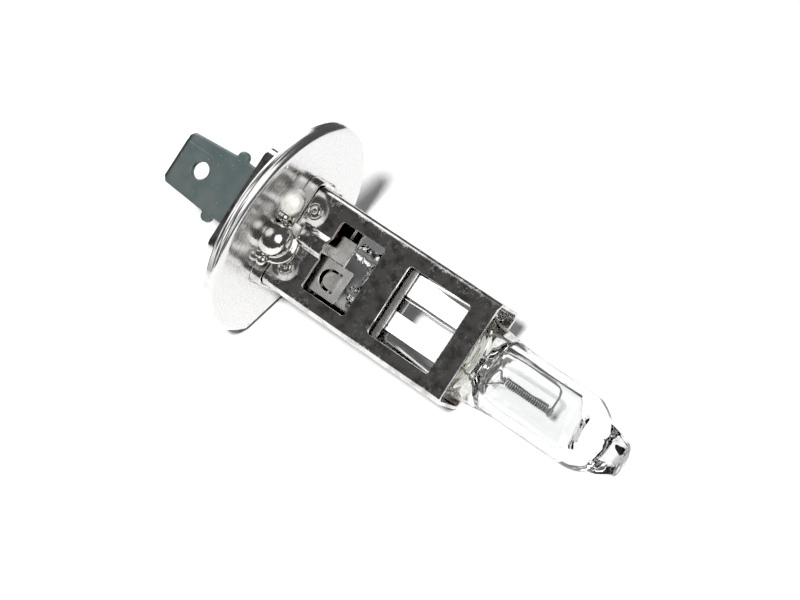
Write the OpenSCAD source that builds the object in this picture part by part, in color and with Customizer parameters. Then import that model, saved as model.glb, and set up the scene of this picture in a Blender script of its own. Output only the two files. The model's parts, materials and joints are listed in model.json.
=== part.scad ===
// Halogen headlight bulb with a prefocus flange, a sheet-metal pinch holder and one push-on tab.
// +X runs along the lamp's axis towards the glass tip. The origin is the centre of the flange's
// front face, which is the reference plane. +Z points away from the flat on the flange, so the
// lamp rests with that flat down. Units are millimetres.

/* [Flange] */
// Radius of the round part of the flange
flange_r = 11.2; // [10.8:0.1:11.6]
// Distance from the axis to the flat on the flange
flange_flat = 8.9; // [8.5:0.1:9.5]
// Depth of the turned-back rim
rim_depth = 1.2; // [1:0.1:1.6]
// Thickness of the flange sheet
flange_sheet = 0.45; // [0.4:0.05:0.6]

/* [Sheet metal body] */
// Roll of the holder about the lamp's axis, from the flange's flat
holder_roll = 34; // [0:1:45]
// Width of the front holder
holder_w = 10.6; // [10.4:0.1:10.8]
// Height of the front holder and the base sleeve
holder_h = 6.6; // [6.4:0.1:6.8]
// Thickness of the body sheet
sheet = 0.35; // [0.3:0.05:0.4]
// Corner radius of the front holder
holder_corner = 0.95; // [0.8:0.05:1.1]
// Front end of the holder, from the reference plane
holder_front = 21.9; // [21.5:0.1:22.3]
// Joint between base sleeve and holder, from the reference plane
joint_x = 1.15; // [1:0.05:1.4]
// Rear end of the base sleeve, behind the reference plane
sleeve_rear = 5.3; // [5:0.1:6]

/* [Windows] */
// Rear edge of the rear window
window_1_x = 5.05; // [4.8:0.05:5.3]
// Length of the rear window
window_1_l = 5; // [4.6:0.1:5.2]
// Rear edge of the front window
window_2_x = 12.8; // [12.5:0.1:13.1]
// Length of the front window
window_2_l = 6.9; // [6.5:0.1:7.2]
// Width of both windows
window_w = 7.15; // [6.8:0.05:7.4]

/* [Glass] */
// Outer radius of the quartz tube
tube_r = 3.45; // [3.3:0.05:3.6]
// Wall of the quartz tube
tube_wall = 0.95; // [0.8:0.05:1.1]
// Thickness of the pinch seal
pinch_t = 3; // [2.6:0.1:3.2]
// Rear end of the pinch seal
pinch_rear = 8.8; // [8.5:0.1:9.3]
// Blunt end of the tip-off
tip_x = 37.9; // [37.5:0.1:38.5]

/* [Filament] */
// Rear end of the coil, the light centre distance
coil_x = 25.2; // [24.9:0.1:25.4]
// Length of the coil
coil_l = 4.6; // [4.4:0.1:5]
// Outer radius of the coil
coil_r = 0.38; // [0.35:0.01:0.6]
// Radius of the filament wire
coil_wire_r = 0.06; // [0.05:0.005:0.09]
// Turns of the coil
coil_turns = 20; // [18:1:22]
// Sideways place of the coil in the tube
coil_y = -0.35; // [-0.5:0.05:0]
// Radius of the lead wires
lead_r = 0.17; // [0.15:0.01:0.2]

/* [Terminal] */
// Width of the push-on tab at its shoulders
tab_w = 6.3; // [6.2:0.05:6.4]
// Width of the push-on tab at its free end
tab_end_w = 5.6; // [5.4:0.1:6]
// Thickness of the push-on tab
tab_t = 0.8; // [0.78:0.01:0.84]
// Free end of the tab, behind the reference plane
tab_rear = 14.6; // [14:0.1:15.5]
// Hole in the tab, behind the reference plane
tab_hole_x = 11.5; // [11:0.1:12]
// Radius of the hole in the tab
tab_hole_r = 0.9; // [0.8:0.05:1]

/* [Hidden] */
$fn = 48;

// The flange seats on an outer annulus; the face inside it lies a little lower
seat_inner_r = 7.6;
seat_step = 0.05;

face_z = holder_h / 2;
inner_z = face_z - sheet;
sleeve_w = holder_w + 2 * sheet;
sleeve_corner = holder_corner + sheet / 2;
far = 60;

// Tongues of the base sleeve that slide under the holder's broad walls
tongue_w = 8;
tongue_front = 4.2;
tongue_rear = -0.6;
// Side lugs of the holder that slide inside the sleeve's narrow walls
lug_h = 3.8;
lug_rear = -0.55;
joint_gap = 0.15;

// Spot welds between holder and tongues
spot_x = 2.4;
spot_y = 2.75;
spot_r = 0.75;
spot_h = 0.14;

// Lead channel pressed out of the upper wall
channel_y = 0.55;
channel_r = 1.15;
channel_rear = 2;
channel_sink = 0.45;

// Bead that fuses the earth strip to the body
bead_r = 1.5;
bead_at = [0.85, -1.4, face_z + 0.8];

// Pinch seal: it widens towards the tube, and has two press lines along each face
pinch_half_w = [3.1, 3.75];
pinch_front = 20.2;
press_lines = [-2, 0.7];
press_line_r = 0.16;
// Nibs of glass that the pinch tools leave around the outer leads
nib_r = 0.8;
earth_nib = 6.4;
live_nib = 7.9;

// Sideways places of the two foils and the leads on them
live_y = -1.6;
earth_y = 2;
foil_w = 1.9;
foil_t = 0.06;
foil_x = [11.2, 18.8];
outer_lead_rear = [5.2, 4.9];
// Rear ends of the cavities that the inner leads leave the glass by
lead_exit_x = [23.25, 23.6];

// Quartz tube stations along the axis
shoulder_rear = 21;
tube_start = 24.2;
tube_end = 33.2;
tip_start = 35.5;
tip_r = [2.25, 1.45];
chamber_x = [23, 33.7];
chamber_corner = [1.3, 2];
chamber_r = tube_r - tube_wall;

// Joints between the leads and the coil
near_joint_x = [24.93, 25.11];
far_joint_x = coil_x + coil_l + 0.35;
far_joint_y = [-0.75, -0.1];
joint_r = 0.23;
long_lead_bend = 1;

// Terminal and strips inside the base
tab_front = -1.9;
ear_x = -8.4;
ear_r = 0.6;
ear_y = 3.35;
strip_t = 0.25;
strip_y = [-3.4, 0];
strip_front = 7.8;
strip_z = 0.75;
earth_plate_x = [4.6, 6.3];
insulator_x = [-5.1, -0.7];
boss_w = 5;
boss_h = 3.4;
boss_rear = -5.9;

// ---------- shared shapes ----------

// Turns local holder shapes, whose broad walls face +Z and -Z, to their roll about the axis
module rolled() {
    rotate([holder_roll, 0, 0]) children();
}

// Rectangle with round corners, centred on the origin
module rounded_rect(w, h, r) {
    square([w - 2 * r, h], center = true);
    square([w, h - 2 * r], center = true);
    for (sx = [-1, 1], sy = [-1, 1])
        translate([sx * (w / 2 - r), sy * (h / 2 - r)]) circle(r);
}

// Bar along X with a round-cornered section of width w along Y and height h along Z
module bar_x(x0, x1, w, h, r) {
    translate([x0, 0, 0]) rotate([90, 0, 90]) linear_extrude(x1 - x0) rounded_rect(w, h, r);
}

// Box given by its lowest and highest corners
module block(low, high) {
    translate(low) cube(high - low);
}

// Revolves a profile of [radius, x] points about the X axis
module turned(points) {
    rotate([0, 90, 0]) rotate_extrude($fn = 72) polygon(points);
}

// Plate outline in XY, from height z0 to z1
module plate(z0, z1) {
    translate([0, 0, z0]) linear_extrude(z1 - z0) children();
}

// Points of an arc in a plane, from angle a0 to a1, in n steps
function arc(centre, r, a0, a1, n) =
    [for (i = [0:n]) centre + r * [cos(a0 + (a1 - a0) * i / n), sin(a0 + (a1 - a0) * i / n)]];

function unit(v) = v / norm(v);

function tangent(path, i) =
    unit(path[min(i + 1, len(path) - 1)] - path[max(i - 1, 0)]);

// Carries a cross direction along a path without twist
function carried(path, i, side, found) =
    i == len(path) ? found
    : let (t = tangent(path, i), next = unit(side - (side * t) * t))
        carried(path, i + 1, next, concat(found, [next]));

// Round wire of radius r swept along a path, with flat ends
module wire(path, r, sides = 8) {
    cross_dirs = carried(path, 0, [0.1, 0.2, 1], []);
    n = len(path);
    rings = [for (i = [0:n - 1], k = [0:sides - 1])
        let (t = tangent(path, i), u = cross_dirs[i], v = cross(t, u), a = 360 * k / sides)
            path[i] + r * (cos(a) * u + sin(a) * v)];
    skin = [for (i = [0:n - 2], k = [0:sides - 1])
        let (k2 = (k + 1) % sides, a = i * sides)
            [a + k, a + sides + k, a + sides + k2, a + k2]];
    start = [for (k = [0:sides - 1]) k];
    end = [for (k = [sides - 1:-1:0]) (n - 1) * sides + k];
    polyhedron(points = rings, faces = concat([start], skin, [end]), convexity = 10);
}

// Places a list of [x, y] points in the plane z = 0
function flat_path(points) = [for (p = points) [p[0], p[1], 0]];

// ---------- flange ----------

// Disc with a rounded front edge, cut off at its flat
module flat_disc(r, flat, x0, x1, edge) {
    intersection() {
        turned(concat([[0, x0], [r, x0]], arc([r - edge, x1 - edge], edge, 0, 90, 6), [[0, x1]]));
        translate([-far / 2, -far / 2, -flat]) cube(far);
    }
}

module prefocus_ring() {
    color("gainsboro") difference() {
        flat_disc(flange_r, flange_flat, -rim_depth, 0, 0.4);
        flat_disc(flange_r - flange_sheet, flange_flat - flange_sheet,
                  -rim_depth - 1, -flange_sheet, 0.2);
        turned([[0, -seat_step], [seat_inner_r, -seat_step], [seat_inner_r, 1], [0, 1]]);
        rolled() bar_x(-3, 3, sleeve_w, holder_h, sleeve_corner);
    }
}

// ---------- base sleeve and holder ----------

module tongue() {
    block([tongue_rear, -tongue_w / 2, inner_z - sheet], [tongue_front, tongue_w / 2, inner_z]);
}

module base_sleeve() {
    color("silver") rolled() {
        difference() {
            bar_x(-sleeve_rear, joint_x, sleeve_w, holder_h, sleeve_corner);
            bar_x(-sleeve_rear - 1, joint_x + 1, holder_w, holder_h - 2 * sheet, sleeve_corner - sheet);
        }
        tongue();
        mirror([0, 0, 1]) tongue();
    }
}

module window(x0, length) {
    translate([x0 + length / 2, 0, 0]) plate(-far / 2, far / 2) rounded_rect(length, window_w, 0.3);
}

// Half-round channel along X on the upper wall
module channel(r, x0, x1) {
    translate([x0, channel_y, face_z - channel_sink]) rotate([0, 90, 0]) cylinder(r = r, h = x1 - x0);
}

module pinch_holder() {
    color("silver") rolled() difference() {
        union() {
            bar_x(lug_rear, holder_front, holder_w, holder_h, holder_corner);
            channel(channel_r, channel_rear, window_1_x + 0.2);
        }
        bar_x(lug_rear - 1, holder_front + 1, holder_w - 2 * sheet, holder_h - 2 * sheet,
              holder_corner - sheet);
        channel(channel_r - sheet, channel_rear - 1, window_1_x + 1);
        window(window_1_x, window_1_l);
        window(window_2_x, window_2_l);
        for (side = [-1, 1])
            block([lug_rear - 1, -far / 2, side > 0 ? lug_h / 2 : -far],
                  [joint_x + joint_gap, far / 2, side > 0 ? far : -lug_h / 2]);
    }
}

// ---------- welds on the outside ----------

// Beads in the corner between flange and sleeve, at [y, radius, side]
RING_BEADS = [[2.2, 1.15, 1], [-3.3, 0.5, 1], [2.2, 1.15, -1], [-2.2, 1.15, -1]];

module ring_weld_beads() {
    color("whitesmoke") rolled() for (bead = RING_BEADS)
        intersection() {
            translate([0.1, bead[0], bead[2] * face_z]) sphere(bead[1]);
            block([-seat_step, -far / 2, bead[2] > 0 ? face_z : -far],
                  [joint_x, far / 2, bead[2] > 0 ? far : -face_z]);
        }
}

// Flat nugget with a raised ring
module weld_spot() {
    difference() {
        cylinder(r = spot_r, h = spot_h);
        translate([0, 0, spot_h / 2]) cylinder(r = spot_r - 0.2, h = spot_h);
    }
}

module sleeve_weld_spots() {
    color("whitesmoke") rolled() for (turn = [0, 180], side = [-1, 1])
        rotate([turn, 0, 0]) translate([spot_x, side * spot_y, face_z]) weld_spot();
}

module earth_bead() {
    color("white") rolled() difference() {
        translate(bead_at) sphere(bead_r);
        block([-far, -far, -far], [-seat_step, far, far]);
        block([-far, -far, -far], [far, far, face_z]);
        channel(channel_r, channel_rear, window_1_x);
        earth_ribbon();
        translate([0.1, RING_BEADS[0][0], face_z]) sphere(RING_BEADS[0][1]);
        translate([spot_x, -spot_y, face_z]) cylinder(r = spot_r, h = spot_h);
    }
}

// ---------- clips on the pinch ----------

clip_x = [10.3, 11.3, 13.3];
clip_w = 7.6;
clip_t = 0.3;

// Z-shaped spring plate between the holder's broad wall and the pinch
module pinch_clip() {
    low = pinch_t / 2;
    rotate([90, 0, 0]) translate([0, 0, -clip_w / 2]) linear_extrude(clip_w) polygon([
        [clip_x[0], inner_z], [clip_x[0], inner_z - clip_t], [clip_x[1] - clip_t, inner_z - clip_t],
        [clip_x[1], low], [clip_x[2], low], [clip_x[2], low + clip_t],
        [clip_x[1] + clip_t, low + clip_t], [clip_x[1], inner_z]
    ]);
}

module upper_pinch_clip() {
    color("darkgray") rolled() pinch_clip();
}

module lower_pinch_clip() {
    color("darkgray") rolled() mirror([0, 0, 1]) pinch_clip();
}

// ---------- base, tab and strips ----------

// Tab outline: tapered blade with cut corners, two round ears and a straight root
module tab_outline() {
    corner = 0.7;
    difference() {
        union() {
            polygon([
                [-tab_rear + corner, -tab_end_w / 2], [ear_x, -tab_w / 2], [tab_front, -tab_w / 2],
                [tab_front, tab_w / 2], [ear_x, tab_w / 2], [-tab_rear + corner, tab_end_w / 2],
                [-tab_rear, tab_end_w / 2 - corner], [-tab_rear, -tab_end_w / 2 + corner]
            ]);
            for (side = [-1, 1]) translate([ear_x, side * ear_y]) circle(ear_r);
        }
        translate([-tab_hole_x, 0]) circle(tab_hole_r);
    }
}

module terminal_blade() {
    color("slategray") rolled() intersection() {
        plate(-tab_t / 2, tab_t / 2) tab_outline();
        rotate([90, 0, 0]) translate([0, 0, -far / 2]) linear_extrude(far) polygon([
            [-tab_rear, -tab_t / 4], [-tab_rear + 0.7, -tab_t / 2], [0, -tab_t / 2],
            [0, tab_t / 2], [-tab_rear + 0.7, tab_t / 2], [-tab_rear, tab_t / 4]
        ]);
    }
}

// Outline of the live strip seen from above, with its U-shaped tongue cut free
module strip_outline(x0) {
    difference() {
        polygon([[x0, strip_y[0]], [strip_front, strip_y[0]], [strip_front, strip_y[1]], [x0, strip_y[1]]]);
        translate([6.1, (strip_y[0] + strip_y[1]) / 2]) difference() {
            circle(0.95);
            circle(0.7);
            translate([0.2, -2]) square([2, 4]);
        }
    }
}

// Side profile of the live strip: low on the tab, a step up, then level under the window
module strip_profile() {
    low = tab_t / 2;
    polygon([
        [-3.4, low], [0.2, low], [1.2, strip_z], [strip_front, strip_z],
        [strip_front, strip_z + strip_t], [1.1, strip_z + strip_t], [0.1, low + strip_t],
        [-3.4, low + strip_t]
    ]);
}

module contact_strip() {
    color("lightgray") rolled() intersection() {
        rotate([90, 0, 0]) translate([0, 0, -far / 2]) linear_extrude(far) strip_profile();
        plate(-far / 2, far / 2) strip_outline(-3.4);
    }
}

module insulator() {
    color("ivory") rolled() difference() {
        union() {
            bar_x(insulator_x[0], insulator_x[1], holder_w, holder_h - 2 * sheet,
                  sleeve_corner - sheet);
            bar_x(boss_rear, insulator_x[0] + 1, boss_w, boss_h, 0.6);
        }
        block([-far, -tab_w / 2, -tab_t / 2], [tab_front, tab_w / 2, tab_t / 2]);
        block([-3.4, strip_y[0], tab_t / 2], [0, strip_y[1], tab_t / 2 + strip_t]);
        for (side = [-1, 1])
            block([lug_rear, -far / 2, side > 0 ? 0 : -far], [far, far / 2, side > 0 ? far : 0]);
    }
}

// Plate on the earth lead, with a ribbon that rises from it through the channel to the bead
module earth_ribbon() {
    width = 1;
    low = lead_r;
    high = inner_z;
    block([earth_plate_x[0], channel_y - width / 2, low],
          [earth_plate_x[1], earth_y + 0.4, low + strip_t]);
    translate([0, channel_y + width / 2, 0]) rotate([90, 0, 0]) linear_extrude(width) polygon([
        [earth_plate_x[0] + 0.5, low], [earth_plate_x[0] + 0.5, low + strip_t],
        [earth_plate_x[0] + 0.3, low + strip_t], [4.5, high + strip_t],
        [2.4, high + strip_t], [1.9, face_z + 0.4], [1.3, face_z + 0.4], [1.3, face_z + 0.15],
        [1.7, face_z + 0.15], [2.2, high], [4.25, high], [earth_plate_x[0], low]
    ]);
}

module earth_strip() {
    color("darkgray") rolled() earth_ribbon();
}

// ---------- leads, foils and filament ----------

module rod_x(x0, x1, y, z, r) {
    translate([x0, y, z]) rotate([0, 90, 0]) cylinder(r = r, h = x1 - x0, $fn = 24);
}

module live_outer_lead() {
    color("dimgray") rolled() rod_x(outer_lead_rear[0], foil_x[0], live_y, 0, lead_r);
}

module earth_outer_lead() {
    color("dimgray") rolled() rod_x(outer_lead_rear[1], foil_x[0], earth_y, 0, lead_r);
}

// Nugget between the live lead and the underside of the contact strip
module live_lead_weld() {
    color("whitesmoke") rolled() difference() {
        translate([6.9, live_y, 0]) cylinder(r = 0.45, h = strip_z);
        rod_x(outer_lead_rear[0], foil_x[0], live_y, 0, lead_r);
    }
}

module foil(y) {
    block([foil_x[0], y - foil_w / 2, -foil_t / 2], [foil_x[1], y + foil_w / 2, foil_t / 2]);
}

module live_foil() {
    color("gray") rolled() foil(live_y);
}

module earth_foil() {
    color("gray") rolled() foil(earth_y);
}

// Kinked lead from the live foil to the near end of the coil
module short_inner_lead() {
    color("dimgray") rolled() wire(flat_path([
        [foil_x[1], live_y], [lead_exit_x[0], live_y], [23.45, live_y + 0.2], [24.05, 0],
        [24.22, 0.18], [24.42, 0.16], [24.6, coil_y + 0.15], [24.75, coil_y],
        [near_joint_x[0], coil_y]
    ]), lead_r);
}

// Straight lead past the coil that hooks back to its far end
module long_inner_lead() {
    bend = arc([far_joint_x - long_lead_bend, earth_y - long_lead_bend], long_lead_bend, 90, 0, 6);
    color("dimgray") rolled()
        wire(flat_path(concat([[foil_x[1], earth_y]], bend, [[far_joint_x, far_joint_y[1]]])), lead_r);
}

coil_mid_r = coil_r - coil_wire_r;
coil_steps = 12;

// Centre line of the coil, which starts and ends on its -Y side
coil_path = [for (i = [0:coil_turns * coil_steps])
    let (a = -90 + 360 * i / coil_steps)
        [coil_x + coil_wire_r + (coil_l - 2 * coil_wire_r) * i / (coil_turns * coil_steps),
         coil_y + coil_mid_r * sin(a), coil_mid_r * cos(a)]];

// Coil with a straight leg back to the pinch and a short one to the far joint
module filament() {
    low = coil_y - coil_mid_r;
    rear_leg = flat_path([
        [23.35, live_y - lead_r - coil_wire_r], [24.9, low - 0.05], [coil_x - 0.05, low]
    ]);
    front_leg = flat_path([
        [coil_x + coil_l, low + 0.02], [far_joint_x - joint_r - coil_wire_r, low + 0.1]
    ]);
    color("darkslategray") rolled() wire(concat(rear_leg, coil_path, front_leg), coil_wire_r, 6);
}

// Small clamped sleeves where the leads meet the coil
module filament_joints() {
    color("gray") rolled() {
        rod_x(near_joint_x[0], near_joint_x[1], coil_y, 0, joint_r);
        translate([far_joint_x, far_joint_y[0], 0]) rotate([-90, 0, 0])
            cylinder(r = joint_r, h = far_joint_y[1] - far_joint_y[0], $fn = 24);
    }
}

// ---------- quartz ----------

// Outline of the pinch seal in XY: it widens towards the tube
module pinch_outline() {
    polygon([
        [pinch_rear, -pinch_half_w[0]], [pinch_front, -pinch_half_w[1]],
        [pinch_front, pinch_half_w[1]], [pinch_rear, pinch_half_w[0]]
    ]);
}

module envelope_outside() {
    difference() {
        plate(-pinch_t / 2, pinch_t / 2) pinch_outline();
        for (y = press_lines, side = [-1, 1])
            rod_x(pinch_rear - 1, pinch_front - 1.5, y, side * pinch_t / 2, press_line_r);
    }
    rod_x(earth_nib, pinch_rear + 1, earth_y, 0, nib_r);
    rod_x(live_nib, pinch_rear + 1, live_y, 0, nib_r);
    hull() {
        block([pinch_front - 0.1, -3.7, -pinch_t / 2 + 0.05], [pinch_front, 3.7, pinch_t / 2 - 0.05]);
        rod_x(tube_start - 0.4, tube_start + 0.1, 0, 0, tube_r - 0.06);
    }
    turned(concat(
        [[0, shoulder_rear]],
        arc([0, tube_start], tube_r, -60, 0, 6),
        arc([tip_r[0], tube_end], tube_r - tip_r[0], 0, 60, 5),
        [[tip_r[0], tip_start - 0.5], [tip_r[0], tip_start], [tip_r[1], tip_x], [0, tip_x]]
    ));
}

module quartz_envelope() {
    color("lightcyan", 0.35) rolled() difference() {
        envelope_outside();
        turned(concat(
            [[0, chamber_x[0]]],
            arc([chamber_r - chamber_corner[0], chamber_x[0] + chamber_corner[0]],
                chamber_corner[0], -90, 0, 6),
            arc([chamber_r - chamber_corner[1], chamber_x[1] - chamber_corner[1]],
                chamber_corner[1], 0, 90, 7),
            [[0, chamber_x[1]]]
        ));
        for (y = [live_y, earth_y]) {
            foil(y);
            rod_x(0, foil_x[0], y, 0, lead_r);
        }
        rod_x(foil_x[1], lead_exit_x[0], live_y, 0, lead_r);
        rod_x(foil_x[1], lead_exit_x[1], earth_y, 0, lead_r);
    }
}

prefocus_ring();
base_sleeve();
pinch_holder();
ring_weld_beads();
sleeve_weld_spots();
earth_bead();
upper_pinch_clip();
lower_pinch_clip();
insulator();
terminal_blade();
contact_strip();
live_lead_weld();
earth_strip();
live_outer_lead();
earth_outer_lead();
live_foil();
earth_foil();
quartz_envelope();
short_inner_lead();
long_inner_lead();
filament();
filament_joints();
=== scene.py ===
import json
import math

import bmesh
import bpy
import numpy as np
from mathutils import Matrix, Vector, noise
from mathutils.geometry import delaunay_2d_cdt


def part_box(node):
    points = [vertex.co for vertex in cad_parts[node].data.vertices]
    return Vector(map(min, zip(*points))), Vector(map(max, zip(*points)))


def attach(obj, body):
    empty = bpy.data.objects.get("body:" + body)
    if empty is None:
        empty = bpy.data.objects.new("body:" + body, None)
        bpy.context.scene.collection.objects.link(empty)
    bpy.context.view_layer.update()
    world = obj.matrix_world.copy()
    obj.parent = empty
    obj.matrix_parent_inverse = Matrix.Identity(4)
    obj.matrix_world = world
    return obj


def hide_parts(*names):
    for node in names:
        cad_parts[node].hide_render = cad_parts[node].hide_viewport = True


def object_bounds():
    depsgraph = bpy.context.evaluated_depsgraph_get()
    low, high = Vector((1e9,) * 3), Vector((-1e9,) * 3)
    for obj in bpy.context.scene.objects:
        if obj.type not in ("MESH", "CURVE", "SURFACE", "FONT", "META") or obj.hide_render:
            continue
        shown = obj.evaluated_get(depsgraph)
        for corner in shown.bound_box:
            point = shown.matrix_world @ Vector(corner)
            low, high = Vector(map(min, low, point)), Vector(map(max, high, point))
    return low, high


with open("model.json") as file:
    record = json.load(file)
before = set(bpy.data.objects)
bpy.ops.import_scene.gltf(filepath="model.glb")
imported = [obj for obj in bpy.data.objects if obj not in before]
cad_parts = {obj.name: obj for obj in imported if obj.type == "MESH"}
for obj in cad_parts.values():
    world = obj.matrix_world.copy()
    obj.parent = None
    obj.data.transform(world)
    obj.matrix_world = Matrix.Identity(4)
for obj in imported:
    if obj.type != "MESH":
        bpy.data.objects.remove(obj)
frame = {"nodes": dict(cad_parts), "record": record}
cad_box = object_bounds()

# Lengths are millimetres in the holder's own axes, unless a name says otherwise: X along the lamp,
# Y across its broad walls and Z out of the upper one. FROM_LOCAL takes them to the frame, in metres.
MM = 0.001
MOUNTS = {mount["name"]: mount for mount in frame["record"]["mounts"]}
BLADE_NORMAL = Vector(MOUNTS["tab_hole"]["axis"])
ROLL = math.atan2(-BLADE_NORMAL.y, BLADE_NORMAL.z)
FROM_LOCAL = Matrix.Rotation(ROLL, 4, "X") @ Matrix.Scale(MM, 4)
TO_LOCAL = FROM_LOCAL.inverted()


def local_box(node):
    """Lowest and highest corner of a CAD node in the holder's axes."""
    corners = np.array([TO_LOCAL @ v.co for v in frame["nodes"][node].data.vertices])
    return Vector(corners.min(0)), Vector(corners.max(0))


# ---------- driving sizes ----------

# Low and high corners of the CAD nodes
HOLDER_LOW, HOLDER_HIGH = local_box("pinch_holder")
SLEEVE_LOW, SLEEVE_HIGH = local_box("base_sleeve")
TAB_LOW, TAB_HIGH = local_box("terminal_blade")
STRIP_LOW, STRIP_HIGH = local_box("contact_strip")
CLIP_LOW, CLIP_HIGH = local_box("upper_pinch_clip")
EARTH_FOIL = local_box("earth_foil")
LIVE_FOIL = local_box("live_foil")
RING_LOW, RING_HIGH = (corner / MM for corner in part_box("prefocus_ring"))

# Sheet metal: its thickness, its broad faces' height, and the boxes' width and corner radius
SHEET = 0.35
FACE_Z = -HOLDER_LOW.z
HOLDER_W, HOLDER_CORNER = 2 * HOLDER_HIGH.y, 0.95
SLEEVE_W, SLEEVE_CORNER = 2 * SLEEVE_HIGH.y, 1.125
# The sleeve ends at JOINT_X and the holder starts at HOLDER_REAR, or further back on its side lugs
JOINT_X = 1.15
HOLDER_REAR = 1.3
LUG_H = 3.8
WINDOWS = [(5.05, 10.05), (12.8, 19.7)]
WINDOW_W = 7.15
WINDOW_CORNER = 0.3
# The lead channel is the part of a round of this radius that stands out of the wall
CHANNEL_Y = 0.55
CHANNEL_R = 1.15
CHANNEL_SINK = 0.45
CHANNEL_START = (1.5, 2.5)
CHANNEL_END = (WINDOWS[0][0] + 0.3, WINDOWS[0][0] + 0.9)
# Places of the spot welds, and how deep the wall is pressed in round them
SPOTS = ((2.15, 2.88), (2.65, -2.8))
SPOT_DENT = 0.1
DENT_EDGE = (0.75, 1.35)
# Glass: the tube's radius and shift to the side, the tip, the shoulder's reach and how far it bows back
# per y * y, and the gas space's radius and ends
TUBE_R = local_box("quartz_envelope")[1].z
TIP_X = local_box("quartz_envelope")[1].x
TUBE_SHIFT = -0.28
SHOULDER_REAR, SHOULDER_FRONT = 20.4, 23.6
SHOULDER_BOW = 0.1
CHAMBER_R = 2.5
CHAMBER_REAR, CHAMBER_FRONT = 23.0, 33.7


# ---------- mesh helpers ----------


def add_object(name, data):
    obj = bpy.data.objects.new(name, data)
    bpy.context.scene.collection.objects.link(obj)
    return obj


def new_object(name, points, faces):
    """Mesh object from points in the holder's axes, with its faces turned outwards."""
    mesh = bpy.data.meshes.new(name)
    mesh.from_pydata([tuple(p) for p in points], [], [tuple(f) for f in faces])
    mesh.transform(FROM_LOCAL)
    work = bmesh.new()
    work.from_mesh(mesh)
    bmesh.ops.recalc_face_normals(work, faces=work.faces)
    work.to_mesh(mesh)
    work.free()
    mesh.shade_smooth()
    return add_object(name, mesh)


def put_on(obj, material):
    """The object wears this material and no other."""
    obj.data.materials.clear()
    obj.data.materials.append(material)


def finish_piece(obj, material, slot, *nodes):
    """Gives a piece its material and body, and hides the CAD nodes that it stands for. Its slot is not
    used.
    """
    put_on(obj, material)
    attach(obj, "root")
    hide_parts(*nodes)


def finish_sheet(name, sheet, material, slot, node):
    """Piece of sheet metal. Its flat faces shade flat right up to their rounded edges."""
    obj = new_object(name, *sheet)
    modifier = obj.modifiers.new("even_normals", "WEIGHTED_NORMAL")
    modifier.mode = "FACE_AREA"
    modifier.weight = 90
    finish_piece(obj, material, slot, node)


def joined(parts):
    """One list of points and faces out of several."""
    points, faces = [], []
    for some_points, some_faces in parts:
        start = len(points)
        points.extend(some_points)
        faces.extend([[i + start for i in face] for face in some_faces])
    return points, faces


def between(ring, other):
    """Four-sided faces between two rings of as many points."""
    size = len(ring)
    return [[ring[k], ring[(k + 1) % size], other[(k + 1) % size], other[k]] for k in range(size)]


def ring_faces(rings, sides):
    """Faces from each ring of points to the next, and over both ends."""
    loops = [list(range(i * sides, (i + 1) * sides)) for i in range(rings)]
    faces = [face for a, b in zip(loops, loops[1:]) for face in between(a, b)]
    return faces + [loops[0][::-1], loops[-1]]


def on_circle(centre, radius, angles):
    return [(centre[0] + radius * math.cos(a), centre[1] + radius * math.sin(a)) for a in angles]


def oriented(loop, sign):
    """The loop, running anticlockwise for sign 1 and clockwise for -1."""
    loop = np.array(loop, float)
    x, y = loop.T
    area = np.sum(x * np.roll(y, -1) - np.roll(x, -1) * y) / 2
    return loop if area * sign > 0 else loop[::-1]


def resampled(loop, step):
    """Closed loop with points at most step apart; its own points stay."""
    out = []
    for a, b in zip(loop, np.roll(loop, -1, axis=0)):
        pieces = max(1, math.ceil(np.linalg.norm(b - a) / step - 1e-6))
        out.extend(a + (b - a) * k / pieces for k in range(pieces))
    return np.array(out)


def moved_in(loop, distance):
    """The loop moved to its left, into the material, with mitred corners."""
    ahead = np.roll(loop, -1, axis=0) - loop
    ahead /= np.linalg.norm(ahead, axis=1)[:, None]
    left = np.stack([-ahead[:, 1], ahead[:, 0]], 1)
    before = np.roll(left, 1, axis=0)
    middle = left + before
    middle /= np.linalg.norm(middle, axis=1)[:, None]
    cosine = np.clip(np.sum(middle * left, axis=1), 0.5, 1)
    return loop + middle * (distance / cosine)[:, None]


def crossings(points, a, b):
    """For each point, whether it is inside the closed loops whose edges run from a to b."""
    x, y = points[:, 0][:, None], points[:, 1][:, None]
    spans = (a[:, 1] > y) != (b[:, 1] > y)
    rise = np.where(b[:, 1] == a[:, 1], 1e-12, b[:, 1] - a[:, 1])
    at = a[:, 0] + (y - a[:, 1]) * (b[:, 0] - a[:, 0]) / rise
    return (np.sum(spans & (x < at), axis=1) % 2) == 1


def edge_distance(points, a, b):
    """For each point, its distance to the nearest edge from a to b."""
    run = b - a
    t = np.einsum("pek,ek->pe", points[:, None] - a, run) / np.sum(run * run, axis=1)
    nearest = a + np.clip(t, 0, 1)[..., None] * run
    return np.linalg.norm(points[:, None] - nearest, axis=2).min(1)


CHUNK = 500
MARGIN = 0.07


def chunks(points):
    return np.array_split(points, max(1, len(points) // CHUNK))


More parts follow.
